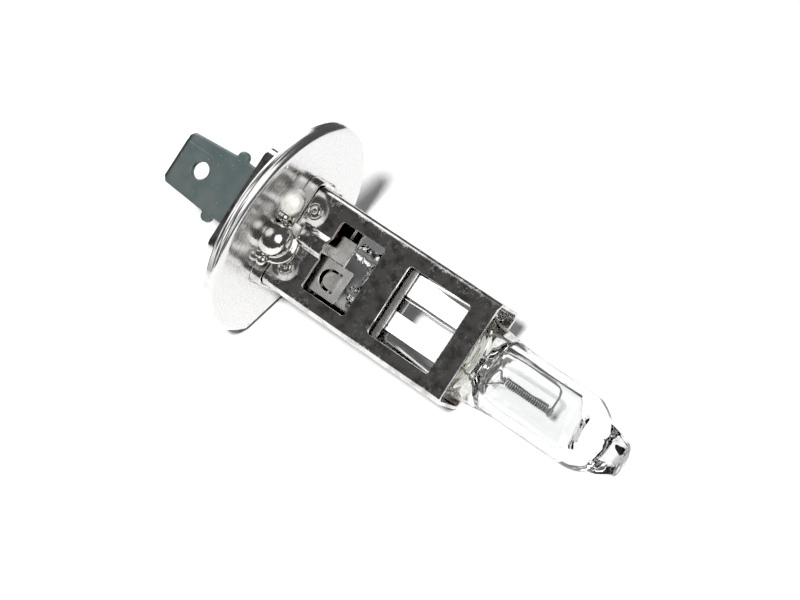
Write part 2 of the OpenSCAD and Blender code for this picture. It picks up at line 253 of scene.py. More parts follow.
def filled(loops, grid):
    """Triangles between closed loops, using those grid points that lie well inside them.

    Gives points, triangles and the place of each point of the loops."""
    a = np.concatenate(loops)
    b = np.concatenate([np.roll(loop, -1, axis=0) for loop in loops])
    keep = []
    for part in chunks(grid):
        part = part[crossings(part, a, b)]
        if len(part):
            keep.append(part[edge_distance(part, a, b) > MARGIN])
    points = np.concatenate([a] + keep)
    edges, start = [], 0
    for loop in loops:
        count = len(loop)
        edges.extend((start + k, start + (k + 1) % count) for k in range(count))
        start += count
    made = delaunay_2d_cdt([Vector(p) for p in points], edges, [], 0, 1e-6, True)
    coordinates, triangles, sources = np.array(made[0]), np.array(made[2]), made[3]
    place = {i: k for k, source in enumerate(sources) for i in source}
    middles = coordinates[triangles].mean(1)
    inside = np.concatenate([crossings(m, a, b) for m in chunks(middles)])
    return coordinates, triangles[inside], [place[i] for i in range(len(a))]


# Distance in from the cut and depth of a rounded edge, for a radius of 1
ROUNDED = ((0.0, 1.0), (0.29, 0.29), (1.0, 0.0), (1.8, 0.0))


def edge_profile(radius):
    return [(radius * distance, radius * deep) for distance, deep in ROUNDED]


def sheet_mesh(outline, holes, thickness, place, u_lines, v_lines, step, profile, hole_profile=None):
    """Points and faces of a sheet cut to an outline and holes in its flat pattern.

    place(u, v) gives its outer face's points and normals. A profile lists (distance in from the cut,
    depth) from the cut inwards. The face has points where u_lines and v_lines cross."""
    loops = [resampled(oriented(outline, 1), step)]
    loops += [resampled(oriented(hole, -1), step) for hole in holes]
    profiles = [profile] + [hole_profile or profile] * len(holes)
    inner = [moved_in(loop, rings[-1][0]) for loop, rings in zip(loops, profiles)]
    grid = np.array([(u, v) for u in u_lines for v in v_lines], float)
    coordinates, triangles, ring_places = filled(inner, grid)
    flat = [coordinates]
    depth = [np.zeros(len(coordinates))]
    count = len(coordinates)
    faces = [list(t) for t in triangles]
    cut = []
    used = 0
    for loop, rings in zip(loops, profiles):
        size = len(loop)
        last = ring_places[used:used + size]
        used += size
        depth[0][last] = rings[-1][1]
        for distance, deep in reversed(rings[:-1]):
            flat.append(moved_in(loop, distance) if distance else loop)
            depth.append(np.full(size, deep))
            ring = list(range(count, count + size))
            count += size
            faces += between(ring, last)
            last = ring
        cut.append(last)
    flat, depth = np.concatenate(flat), np.concatenate(depth)
    outer, normal = place(flat[:, 0], flat[:, 1])
    upper = outer - normal * depth[:, None]
    lower = outer - normal * (thickness - depth)[:, None]
    faces += [[i + count for i in reversed(face)] for face in faces]
    for ring in cut:
        faces += between([i + count for i in ring], ring)
    return list(upper) + list(lower), faces


def rounded_rectangle(x0, x1, y0, y1, r):
    corners = [(x1 - r, y1 - r, 0), (x0 + r, y1 - r, 90), (x0 + r, y0 + r, 180), (x1 - r, y0 + r, 270)]
    quarter = np.linspace(0, 90, 6)
    return [point for x, y, a in corners for point in on_circle((x, y), r, np.radians(a + quarter))]


def spaced(low, high, step):
    """Even stations from low to high, at most step apart."""
    return np.linspace(low, high, max(2, math.ceil((high - low) / step) + 1))


def merged(*lines):
    """Sets of grid lines as one, without doubles."""
    return np.unique(np.concatenate(lines).round(3))


def flat_place(z, up):
    """Plane at height z, facing up for 1 and down for -1."""

    def place(u, v):
        points = np.stack([u, v, np.full(len(u), z)], 1)
        return points, np.tile([0.0, 0.0, up], (len(u), 1))

    return place


def bent_place(path, radius, flip=1):
    """Sheet bent along a side profile of (x, z) points: u runs along it and v across.

    Returns the bend, the length of the profile and the grid lines that its bends need."""
    path = [np.array(p, float) for p in path]
    line = [path[0]]
    for before, at, after in zip(path, path[1:], path[2:]):
        back, on = before - at, after - at
        reach = min(radius, 0.45 * np.linalg.norm(back), 0.45 * np.linalg.norm(on))
        start = at + back / np.linalg.norm(back) * reach
        end = at + on / np.linalg.norm(on) * reach
        line += [(1 - t) ** 2 * start + 2 * t * (1 - t) * at + t * t * end for t in np.linspace(0, 1, 7)]
    line = np.array(line + [path[-1]])
    run = np.diff(line, axis=0)
    length = np.concatenate([[0], np.cumsum(np.linalg.norm(run, axis=1))])
    along = np.gradient(line, length, axis=0)
    along /= np.linalg.norm(along, axis=1)[:, None]

    def place(u, v):
        x, z = np.interp(u, length, line[:, 0]), np.interp(u, length, line[:, 1])
        dx, dz = np.interp(u, length, along[:, 0]), np.interp(u, length, along[:, 1])
        points = np.stack([x, v, z], 1)
        normals = np.stack([-dz, np.zeros(len(u)), dx], 1) * flip
        return points, normals / np.linalg.norm(normals, axis=1)[:, None]

    return place, length[-1], length[1:-1]


def box_fold(width, height, radius):
    """Folds a flat pattern round a box section: v is 0 at the middle of the upper wall.

    The seam is at the middle of the -Y wall. Returns the fold, the stops in v between walls and corners,
    and the grid lines that its corners need."""
    top, side, turn = width / 2 - radius, height - 2 * radius, radius * math.pi / 2
    stops = [-top - turn - side / 2, -top - turn, -top, top, top + turn, top + turn + side]
    stops += [stops[-1] + turn, stops[-1] + turn + 2 * top, stops[-1] + 2 * turn + 2 * top]
    stops += [stops[-1] + side / 2]
    half = height / 2
    # Where each wall starts, the way that it runs, and the middle of the corner after it
    walls = [
        ((-width / 2, 0.0), (0, 1), (-top, half - radius)),
        ((-top, half), (1, 0), (top, half - radius)),
        ((width / 2, half - radius), (0, -1), (top, radius - half)),
        ((top, -half), (-1, 0), (-top, radius - half)),
        ((-width / 2, radius - half), (0, 1), None),
    ]

    def section(v):
        y, z, angle = np.zeros(len(v)), np.zeros(len(v)), np.zeros(len(v))
        for k, (start, end) in enumerate(zip(stops, stops[1:])):
            here = (v >= start - 1e-9) & (v <= end + 1e-9)
            at, way, corner = walls[k // 2]
            facing = 180 - 90 * (k // 2)
            if k % 2:
                turned = np.radians(facing - 90 * (v[here] - start) / (end - start))
                y[here] = corner[0] + radius * np.cos(turned)
                z[here] = corner[1] + radius * np.sin(turned)
                angle[here] = turned
            else:
                y[here] = at[0] + way[0] * (v[here] - start)
                z[here] = at[1] + way[1] * (v[here] - start)
                angle[here] = math.radians(facing)
        return y, z, angle

    lines = [spaced(a, b, 0.17) for a, b in zip(stops[1:8:2], stops[2:9:2])]
    return section, stops, np.concatenate(lines)


def folded_place(section, relief=None):
    """Sheet folded by section, with its outer face raised by relief(x, y, z)."""

    def place(u, v):
        y, z, angle = section(v)
        points = np.stack([u, y, z], 1)
        normals = np.stack([np.zeros(len(u)), np.cos(angle), np.sin(angle)], 1)
        if relief is not None:
            points = points + normals * relief(u, y, z)[:, None]
        return points, normals

    return place


def smooth_step(x, low, high):
    t = np.clip((x - low) / (high - low), 0, 1)
    return t * t * (3 - 2 * t)


def tube(path, radius, sides=12):
    """Round wire swept along a path, closed at both ends."""
    path = np.array(path, float)
    along = np.gradient(path, axis=0)
    along /= np.linalg.norm(along, axis=1)[:, None]
    side = np.array([0.1, 0.2, 1.0])
    points = []
    for at, ahead in zip(path, along):
        side = side - ahead * (side @ ahead)
        side /= np.linalg.norm(side)
        across = np.cross(ahead, side)
        for k in range(sides):
            a = 2 * math.pi * k / sides
            points.append(at + radius * (math.cos(a) * side + math.sin(a) * across))
    return points, ring_faces(len(path), sides)


def smooth_path(points, step):
    """Catmull-Rom line through points, with a point about every step."""
    points = [np.array(p, float) for p in points]
    padded = [2 * points[0] - points[1]] + points + [2 * points[-1] - points[-2]]
    out = []
    for a, b, c, d in zip(padded, padded[1:], padded[2:], padded[3:]):
        count = max(1, round(np.linalg.norm(c - b) / step))
        square, cube = 2 * a - 5 * b + 4 * c - d, 3 * b - a - 3 * c + d
        for t in np.arange(count) / count:
            out.append(0.5 * (2 * b + (c - a) * t + square * t**2 + cube * t**3))
    return out + [points[-1]]


def ball(centre, radii):
    """Ellipsoid, given by its centre and its three radii."""
    rings, sides = 16, 24
    centre, radii = np.array(centre), np.array(radii)
    points = [centre + radii * (0, 0, 1)]
    for i in range(1, rings):
        a = math.pi * i / rings
        for b in (2 * math.pi * k / sides for k in range(sides)):
            way = (math.sin(a) * math.cos(b), math.sin(a) * math.sin(b), math.cos(a))
            points.append(centre + radii * way)
    points.append(centre - radii * (0, 0, 1))
    last = len(points) - 1
    faces = [[0, 1 + k, 1 + (k + 1) % sides] for k in range(sides)]
    for i in range(rings - 2):
        a, b = 1 + i * sides, 1 + (i + 1) * sides
        faces += [[a + k, b + k, b + (k + 1) % sides, a + (k + 1) % sides] for k in range(sides)]
    faces += [[last, last - sides + (k + 1) % sides, last - sides + k] for k in range(sides)]
    return points, faces


def revolved(profile, centre, up, sides=40):
    """Disc-like shape from a profile of (radius, height), standing on centre along +Z or -Z."""
    x, y, z = centre
    angles = [2 * math.pi * k / sides for k in range(sides)]
    points = [(*at, z + up * h) for r, h in profile for at in on_circle((x, y), r, angles)]
    return points, ring_faces(len(profile), sides)


VOXEL = 0.07
SHARP_ANGLE = math.radians(35)


def molten(name, balls, passes):
    """Balls of molten metal run together into one blob, smoothed by so many passes."""
    obj = new_object(name, *joined(balls))
    remesh = obj.modifiers.new("run_together", "REMESH")
    remesh.mode = "VOXEL"
    remesh.voxel_size = VOXEL * MM
    remesh.use_smooth_shade = True
    smooth = obj.modifiers.new("surface_tension", "SMOOTH")
    smooth.factor = 0.5
    smooth.iterations = passes
    return obj


def softened(name, node, width):
    """A copy of a CAD node's shape with its sharp edges broken."""
    mesh = bpy.data.meshes.new(name)
    work = bmesh.new()
    work.from_mesh(frame["nodes"][node].data)
    bmesh.ops.remove_doubles(work, verts=work.verts, dist=1e-6)
    bmesh.ops.dissolve_limit(work, angle_limit=math.radians(0.5), verts=work.verts, edges=work.edges)
    work.to_mesh(mesh)
    work.free()
    mesh.shade_smooth()
    obj = add_object(name, mesh)
    bevel = obj.modifiers.new("broken_edges", "BEVEL")
    bevel.width = width * MM
    bevel.segments = 2
    bevel.limit_method = "ANGLE"
    bevel.angle_limit = SHARP_ANGLE
    bevel.harden_normals = True
    return obj


# ---------- materials ----------


class Nodes:
    """The node tree of a material or world, with short ways to add to it."""

    def __init__(self, owner):
        owner.use_nodes = True
        self.tree = owner.node_tree

    def add(self, kind, **settings):
        node = self.tree.nodes.new(kind)
        for key, value in settings.items():
            setattr(node, key, value)
        return node

    def feed(self, socket, value):
        """Links or sets a socket, by what the value is."""
        if isinstance(value, (int, float)):
            socket.default_value = value
        elif isinstance(value, tuple):
            socket.default_value = (*value, 1)
        else:
            self.tree.links.new(value, socket)

    def ramp(self, value, low, high, start=0.0, end=1.0):
        """value from low to high becomes start to end, and stays there beyond."""
        node = self.add("ShaderNodeMapRange", interpolation_type="SMOOTHSTEP")
        ends = {"Value": value, "From Min": low, "From Max": high, "To Min": start, "To Max": end}
        for name, number in ends.items():
            self.feed(node.inputs[name], number)
        return node.outputs["Result"]

    def maths(self, operation, a, b):
        node = self.add("ShaderNodeMath", operation=operation)
        self.feed(node.inputs[0], a)
        self.feed(node.inputs[1], b)
        return node.outputs["Value"]

    def times(self, a, b):
        return self.maths("MULTIPLY", a, b)

    def plus(self, a, b):
        return self.maths("ADD", a, b)


class Surface(Nodes):
    """A new material with its principled shader."""

    def __init__(self, name):
        self.material = bpy.data.materials.new(name)
        super().__init__(self.material)
        self.shader = self.tree.nodes["Principled BSDF"]
        self.place = self.add("ShaderNodeTexCoord").outputs["Object"]

    def stretched(self, scale):
        """Place in millimetres along the holder's axes, times scale along each."""
        turn = self.add("ShaderNodeMapping", vector_type="POINT")
        turn.inputs["Rotation"].default_value = (-ROLL, 0, 0)
        turn.inputs["Scale"].default_value = (1 / MM, 1 / MM, 1 / MM)
        self.feed(turn.inputs["Vector"], self.place)
        stretch = self.add("ShaderNodeMapping", vector_type="POINT")
        stretch.inputs["Scale"].default_value = scale
        self.feed(stretch.inputs["Vector"], turn.outputs["Vector"])
        return stretch.outputs["Vector"]

    def noise(self, scale, detail, stretch=(1, 1, 1), roughness=0.5):
        node = self.add("ShaderNodeTexNoise")
        node.inputs["Roughness"].default_value = roughness
        return self.noise_of(node, "Vector", self.stretched(stretch), scale, detail)

    def noise_of(self, node, socket, place, scale, detail):
        node.inputs["Scale"].default_value = scale
        node.inputs["Detail"].default_value = detail
        self.feed(node.inputs[socket], place)
        return node.outputs["Fac"]

    def split(self, vector):
        """X, Y and Z of a vector."""
        node = self.add("ShaderNodeSeparateXYZ")
        self.feed(node.inputs[0], vector)
        return node.outputs

    def vector(self, x, y, z):
        node = self.add("ShaderNodeCombineXYZ")
        for socket, value in zip(node.inputs, (x, y, z)):
            self.feed(socket, value)
        return node.outputs[0]

    def off_axis(self, y, z):
        """Distance from the X axis."""
        node = self.add("ShaderNodeVectorMath", operation="LENGTH")
        self.feed(node.inputs[0], self.vector(0.0, y, z))
        return node.outputs["Value"]

    def colours(self, factor, first, second):
        """first where the factor is 0 and second where it is 1."""
        node = self.add("ShaderNodeMix", data_type="RGBA")
        self.feed(node.inputs["Factor"], factor)
        for name, colour in (("A", first), ("B", second)):
            self.feed([s for s in node.inputs if s.name == name and s.type == "RGBA"][0], colour)
        return [s for s in node.outputs if s.type == "RGBA"][0]

    def bump(self, height, depth, before=None):
        """Bump of depth millimetres, on top of another one."""
        node = self.add("ShaderNodeBump")
        node.inputs["Strength"].default_value = 1.0
        node.inputs["Distance"].default_value = depth * MM
        self.feed(node.inputs["Height"], height)
        if before is not None:
            self.feed(node.inputs["Normal"], before)
        return node.outputs["Normal"]

    def use(self, **sockets):
        """Links or sets the shader's sockets; underscores stand for spaces."""
        for name, value in sockets.items():
            self.feed(self.shader.inputs[name.replace("_", " ")], value)
        return self.material


def nickel_plate():
    """Bright nickel plate: mirror-like, faintly wavy, with handling marks that catch the light."""
    n = Surface("bright_nickel")
    waves = n.noise(0.32, 2.0)
    marks = n.noise(2.6, 4.0, roughness=0.65)
    patches = n.noise(0.55, 2.0)
    specks = n.times(n.ramp(marks, 0.5, 0.62), n.ramp(patches, 0.38, 0.58))
    drawn = n.noise(1.0, 2.0, stretch=(0.35, 9, 9))
    stain = n.noise(0.9, 3.0)
    bright, stained, scuffed = (0.82, 0.805, 0.79), (0.52, 0.5, 0.48), (0.9, 0.9, 0.9)
    tint = n.colours(n.ramp(stain, 0.4, 0.7), bright, stained)
    return n.use(
        Base_Color=n.colours(specks, tint, scuffed),
        Metallic=1.0,
        Roughness=n.plus(n.ramp(stain, 0.35, 0.75, 0.08, 0.13), n.ramp(specks, 0, 1, 0, 0.26)),
        Normal=n.bump(drawn, 0.0006, n.bump(specks, 0.001, n.bump(waves, 0.04))),
    )


def spun_nickel():
    """The flange's nickel: turned on its axis, so its rim carries fine rings.

    The front face is smoother. At the crown of the rim, where the key lamp's highlight falls, the rings are
    made less metallic so that they light up: a painted highlight."""
    n = Surface("spun_nickel")
    x, y, z = n.split(n.place)
    turn = n.maths("ARCTAN2", z, y)
    ring_place = n.vector(n.times(x, 9 / MM), n.times(n.off_axis(y, z), 9 / MM), n.times(turn, 3.0))
    rings = n.noise_of(n.add("ShaderNodeTexNoise"), "Vector", ring_place, 1.0, 3.0)
    waves = n.noise(0.35, 2.0)
    stain = n.noise(0.8, 3.0)
    face = n.ramp(x, -0.45 * MM, -0.05 * MM)
    rim = n.ramp(face, 0.0, 1.0, 1.0, 0.0)
    # Painted highlight: the rings turn less metallic, and so light up, only round the crown of the rim,
    # where the key lamp's highlight falls.
    off_crown = n.maths("ABSOLUTE", n.maths("SUBTRACT", turn, math.radians(90) + ROLL), 0.0)
    crown = n.times(n.ramp(off_crown, 0.3, 0.9, 1.0, 0.0), rim)
    painted_highlight_streaks = n.times(n.ramp(rings, 0.4, 0.62), crown)
    ridges = n.times(rings, n.ramp(face, 0.0, 1.0, 1.0, 0.15))
    face_colour, rim_colour = (0.78, 0.775, 0.77), (0.88, 0.875, 0.87)
    rim_tint = n.colours(n.ramp(stain, 0.4, 0.7), rim_colour, face_colour)
    return n.use(
        Base_Color=n.colours(face, rim_tint, face_colour),
        Metallic=n.ramp(painted_highlight_streaks, 0.0, 1.0, 1.0, 0.68),
        Roughness=n.plus(n.ramp(rings, 0.35, 0.65, 0.08, 0.24), n.times(face, 0.05)),
        Normal=n.bump(ridges, 0.002, n.bump(waves, 0.03)),
    )


def weld_metal():
    """Solidified weld metal: bright, smooth and slightly wrinkled."""
    n = Surface("weld_metal")
    wrinkles = n.noise(0.9, 2.0)
    skin = n.noise(3.0, 2.0)
    return n.use(
        Base_Color=n.colours(n.ramp(wrinkles, 0.4, 0.7), (0.86, 0.85, 0.83), (0.70, 0.68, 0.64)),
        Metallic=1.0,
        Roughness=n.ramp(skin, 0.35, 0.7, 0.05, 0.16),
        Normal=n.bump(skin, 0.003, n.bump(wrinkles, 0.03)),
    )


def satin_tab():
    """Tab of dull tinned brass: grey-green satin with fine grain, bright nicks, and painted shade on its
    lead-in.
    """
    n = Surface("terminal_metal")
    cloud = n.noise(0.5, 3.0)
    grain = n.noise(14.0, 2.0)
    nicks = n.ramp(n.noise(5.5, 2.0), 0.7, 0.75)
    along = n.split(n.stretched((1, 1, 1)))["X"]
    past_painted_lead_in = n.ramp(along, TAB_LOW.x + 0.15, TAB_LOW.x + 0.55)
    green, grey = (0.125, 0.16, 0.158), (0.165, 0.185, 0.185)
    # The lead-in colour is near black: painted shade on the tab's thinned end.
    nick_colour, painted_shade_colour = (0.42, 0.44, 0.43), (0.05, 0.062, 0.062)
    body = n.colours(nicks, n.colours(n.ramp(cloud, 0.35, 0.7), green, grey), nick_colour)
    return n.use(
        Base_Color=n.colours(past_painted_lead_in, painted_shade_colour, body),
        Metallic=0.75,
        Roughness=n.ramp(grain, 0.3, 0.7, 0.36, 0.5),
        Normal=n.bump(grain, 0.002, n.bump(cloud, 0.03)),
    )


def plain_metal(name, light, dark, rough, stretch, wrinkle, metallic):
    """Metal of uneven shade, for strips, clips, leads and foils. wrinkle is its depth in millimetres."""
    spread = 0.07
    n = Surface(name)
    shade = n.noise(1.4, 3.0, stretch)
    grain = n.noise(6.0, 3.0, stretch)
    return n.use(
        Base_Color=n.colours(n.ramp(shade, 0.35, 0.7), light, dark),
        Metallic=metallic,
        Roughness=n.ramp(grain, 0.3, 0.7, rough - spread, rough + spread),
        Normal=n.bump(grain, wrinkle * 0.4, n.bump(shade, wrinkle)),
    )


def steatite():
    """Unglazed ceramic: chalky, with pits and faint grey specks."""
    n = Surface("ceramic")
    cloud = n.noise(1.1, 3.0)
    pits = n.noise(7.0, 3.0)
    body = n.colours(n.ramp(cloud, 0.35, 0.7), (0.83, 0.81, 0.76), (0.74, 0.71, 0.65))
    return n.use(
        Base_Color=n.colours(n.ramp(pits, 0.66, 0.72), body, (0.5, 0.48, 0.44)),
        Roughness=n.ramp(pits, 0.3, 0.7, 0.5, 0.72),
        Normal=n.bump(pits, 0.02),
    )


def quartz_glass():
    """Clear quartz with faint draw lines, bands of painted shade in the shoulder and a grey, blunt tip.

    The skin of the gas space is painted darker as painted shade, and glass seen edge-on is painted grey as
    a painted dark outline. Lamps shine through it, so its shadow stays light."""
    n = Surface("quartz")
    x, y, z = n.split(n.stretched((1, 1, 1)))
    bowed = n.plus(x, n.times(n.times(y, y), SHOULDER_BOW))
    bands = n.noise_of(n.add("ShaderNodeTexNoise", noise_dimensions="1D"), "W", bowed, 2.1, 2.0)
    rear = n.ramp(bowed, SHOULDER_REAR, SHOULDER_REAR + 0.8)
    front = n.ramp(bowed, SHOULDER_FRONT - 0.3, SHOULDER_FRONT, 1.0, 0.0)
    shoulder = n.times(rear, front)
    # Painted shade: dark bands tinted into the shoulder, where the glass is seen dark.
    painted_shoulder_shade = n.times(n.ramp(bands, 0.4, 0.54), shoulder)
    # Painted shade: where the glass is seen edge-on it turns grey and its reflections dim, drawing a dark
    # outline.
    painted_edge_shade = n.ramp(n.add("ShaderNodeLayerWeight").outputs["Facing"], 0.66, 0.86)
    tip = n.ramp(x, TIP_X - 0.75, TIP_X - 0.3)
    radius = n.off_axis(n.maths("SUBTRACT", y, TUBE_SHIFT), z)
    # Painted shade: the skin of the gas space is tinted darker so that the space reads grey.
    near = n.ramp(radius, CHAMBER_R + 0.2, CHAMBER_R + 0.4, 1.0, 0.0)
    skin = n.times(near, n.ramp(bowed, CHAMBER_REAR + 0.8, CHAMBER_REAR + 3.0))
    clear = n.colours(skin, (0.985, 0.99, 0.985), (0.9, 0.91, 0.905))
    body = n.colours(tip, n.colours(painted_shoulder_shade, clear, (0.5, 0.5, 0.44)), (0.3, 0.3, 0.29))
    n.use(
        Base_Color=n.colours(painted_edge_shade, body, (0.4, 0.4, 0.41)),
        Specular_Tint=n.colours(painted_edge_shade, (1.0, 1.0, 1.0), (0.25, 0.25, 0.26)),
        Transmission_Weight=1.0,
        IOR=1.458,
        Roughness=0.0,
        Normal=n.bump(n.noise(0.7, 2.0, stretch=(0.25, 1.6, 1.6)), 0.035),
    )
    mix = n.add("ShaderNodeMixShader")
    n.feed(mix.inputs[0], n.add("ShaderNodeLightPath").outputs["Is Shadow Ray"])
    n.feed(mix.inputs[1], n.shader.outputs["BSDF"])
    n.feed(mix.inputs[2], n.add("ShaderNodeBsdfTransparent").outputs["BSDF"])
    n.feed(n.tree.nodes["Material Output"].inputs["Surface"], mix.outputs["Shader"])
    return n.material


NICKEL = nickel_plate()
SPUN = spun_nickel()
WELD = weld_metal()
TAB_METAL = satin_tab()
CERAMIC = steatite()
QUARTZ = quartz_glass()

EVEN = (1, 1, 1)
FROSTED = plain_metal("frosted_weld", (0.93, 0.92, 0.87), (0.88, 0.86, 0.8), 0.42, EVEN, 0.004, 0.78)
STRIP_METAL = plain_metal("strip_metal", (0.84, 0.83, 0.81), (0.72, 0.71, 0.68), 0.3, EVEN, 0.004, 0.9)
CLIP_STEEL = plain_metal("spring_steel", (0.6, 0.59, 0.58), (0.5, 0.49, 0.48), 0.17, EVEN, 0.01, 0.92)
MOLYBDENUM = plain_metal(
    "molybdenum", (0.4, 0.395, 0.39), (0.28, 0.275, 0.27), 0.35, (0.3, 4, 4), 0.01, 0.85)
FOIL_METAL = plain_metal(
    "molybdenum_foil", (0.85, 0.84, 0.84), (0.7, 0.69, 0.69), 0.38, (2, 2, 2), 0.03, 0.3)
TUNGSTEN = plain_metal("tungsten", (0.2, 0.2, 0.205), (0.13, 0.13, 0.135), 0.42, (2, 2, 2), 0.01, 0.7)


# ---------- flange ----------

# Radius of the folded edge, thickness of the sheet and room round the sleeve
FLANGE_EDGE = 0.75
FLANGE_SHEET = 0.38
MOUTH_GAP = 0.04


# Turns the flange's own (y, z) into the holder's
FLANGE_TURN = np.array([[math.cos(ROLL), -math.sin(ROLL)], [math.sin(ROLL), math.cos(ROLL)]])


def flange_place(round_r, flat_z, half_chord, turn):
    """Folds the flange's flat pattern: the face, a quarter turn round its edge, then straight back."""

    def nearest(p):
        """Nearest point of the flat face to each point of the pattern."""
        r = np.linalg.norm(p, axis=1)[:, None]
        on_disc = np.where(r > round_r, p * round_r / np.maximum(r, 1e-9), p)
        on_flat = np.stack([np.clip(p[:, 0], -half_chord, half_chord), np.full(len(p), -flat_z)], 1)
        return np.where((on_disc[:, 1] < -flat_z)[:, None], on_flat, on_disc)

    def place(u, v):
        p = np.stack([u, v], 1)
        base = nearest(p)
        away = p - base
        d = np.linalg.norm(away, axis=1)
        out = away / np.maximum(d, 1e-9)[:, None]
        angle = np.minimum(d, turn) / FLANGE_EDGE
        x = -FLANGE_EDGE * (1 - np.cos(angle)) - np.maximum(d - turn, 0)
        across = base + out * (FLANGE_EDGE * np.sin(angle))[:, None]
        normals = np.column_stack([np.cos(angle), out @ FLANGE_TURN * np.sin(angle)[:, None]])
        return np.column_stack([x, across @ FLANGE_TURN]), normals

    return place


def prefocus_flange():
    """Pressed disc with one flat. Its face folds back over a round edge into the rim."""
    round_r = RING_HIGH.y - FLANGE_EDGE
    flat_z = -RING_LOW.z - FLANGE_EDGE
    half_chord = math.sqrt(round_r**2 - flat_z**2)
    rim = -RING_LOW.x - FLANGE_EDGE
    turn = FLANGE_EDGE * math.pi / 2
    reach = turn + rim
    right = math.atan2(-flat_z, half_chord)
    left, down = math.pi - right, math.pi / 2
    outline = on_circle((0, 0), round_r + reach, np.linspace(right, left, 151))
    outline += on_circle((-half_chord, -flat_z), reach, np.linspace(left, 3 * down, 9)[1:])
    outline += on_circle((half_chord, -flat_z), reach, np.linspace(-down, right, 9)[:-1])
    half_w, half_h = SLEEVE_W / 2 + MOUTH_GAP, FACE_Z + MOUTH_GAP
    mouth = rounded_rectangle(-half_w, half_w, -half_h, half_h, SLEEVE_CORNER + MOUTH_GAP)
    profile = edge_profile(0.1)
    profile += [(rim + turn * k / 7, 0.0) for k in range(8)] + [(reach + 0.25, 0.0)]
    lines = spaced(-round_r, round_r, 0.7)
    sheet = sheet_mesh(
        outline, [np.array(mouth) @ FLANGE_TURN.T], FLANGE_SHEET,
        flange_place(round_r, flat_z, half_chord, turn), lines, lines, 0.35, profile, edge_profile(0.12))
    finish_sheet("prefocus_flange", sheet, SPUN, "bright_nickel", "prefocus_ring")


# ---------- sleeve and holder ----------

TONGUE_W = 8.0
TONGUE_REAR = -0.6


def base_sleeve():
    """Box section through the flange, with a tongue on each broad side that the holder is welded to."""
    section, stops, folds = box_fold(SLEEVE_W, 2 * FACE_Z, SLEEVE_CORNER)
    rear, front, seam, end = SLEEVE_LOW.x, JOINT_X, stops[0], stops[-1]
    parts = [sheet_mesh(
        [(rear, seam), (front, seam), (front, end), (rear, end)], [], SHEET, folded_place(section),
        spaced(rear, front, 0.8), merged(spaced(seam, end, 0.8), folds), 0.25, edge_profile(0.07))]
    rear, front, half_w = TONGUE_REAR, SLEEVE_HIGH.x, TONGUE_W / 2
    tongue = rounded_rectangle(rear, front, -half_w, half_w, 0.4)
    for side in (1, -1):
        parts.append(sheet_mesh(
            tongue, [], SHEET, flat_place(side * (FACE_Z - SHEET), side), spaced(rear, front, 1),
            spaced(-half_w, half_w, 1), 0.5, edge_profile(0.05)))
    finish_sheet("base_sleeve_shell", joined(parts), NICKEL, "bright_nickel", "base_sleeve")


def holder_relief(x, y, z):
    """Raised lead channel and the dents of the spot welds."""
    upper = z > FACE_Z - 0.01
    broad = np.abs(z) > FACE_Z - 0.01
    across = np.clip(CHANNEL_R**2 - (y - CHANNEL_Y) ** 2, 0, None)
    ridge = np.maximum(np.sqrt(across) - CHANNEL_SINK, 0)
    length = smooth_step(x, *CHANNEL_START) * (1 - smooth_step(x, *CHANNEL_END))
    height = np.where(upper, ridge * length, 0)
    for spot_x, spot_y in SPOTS:
        r = np.hypot(x - spot_x, y - spot_y)
        height = height - np.where(broad, SPOT_DENT * (1 - smooth_step(r, *DENT_EDGE)), 0)
    return height


def holder_shell():
    """Long box section with two windows in each broad wall and a rear lug on each narrow one."""
    section, stops, folds = box_fold(HOLDER_W, 2 * FACE_Z, HOLDER_CORNER)
    seam, end = stops[0], stops[-1]
    side, lug = stops[4] + FACE_Z - HOLDER_CORNER, LUG_H / 2
    rear, front = HOLDER_LOW.x, HOLDER_HIGH.x
    outline = [
        (front, seam), (front, end), (rear, end), (rear, end - lug), (HOLDER_REAR, end - lug),
        (HOLDER_REAR, side + lug), (rear, side + lug), (rear, side - lug), (HOLDER_REAR, side - lug),
        (HOLDER_REAR, seam + lug), (rear, seam + lug), (rear, seam),
    ]
    holes = [
        rounded_rectangle(x0, x1, middle - WINDOW_W / 2, middle + WINDOW_W / 2, WINDOW_CORNER)
        for middle in (0, (stops[6] + stops[7]) / 2)
        for x0, x1 in WINDOWS
    ]
    sheet = sheet_mesh(
        outline, holes, SHEET, folded_place(section, holder_relief),
        merged(spaced(HOLDER_REAR, 5, 0.2), spaced(rear, front, 0.7)),
        merged(folds, spaced(-4.3, 4.3, 0.2), spaced(seam, end, 0.7)), 0.2, edge_profile(0.06))
    finish_sheet("holder_shell", sheet, NICKEL, "bright_nickel", "pinch_holder")


# ---------- welds ----------

# Radius and height, from the middle outwards
SPOT_PROFILE = (
    (0.001, 0.055), (0.07, 0.05), (0.12, 0.10), (0.2, 0.125), (0.38, 0.12), (0.46, 0.10), (0.52, 0.045),
    (0.58, 0.04), (0.64, 0.10), (0.7, 0.125), (0.76, 0.10), (0.81, 0.02), (0.82, -0.06),
)


def spot_welds():
    """Four spot welds: a raised ring, a moat and a flat button with a small crater."""
    parts = [
        revolved(SPOT_PROFILE, (x, y, up * (FACE_Z - SPOT_DENT)), up) for up in (1, -1) for x, y in SPOTS
    ]
    obj = new_object("spot_weld_nuggets", *joined(parts))
    finish_piece(obj, WELD, "weld_metal", "sleeve_weld_spots")


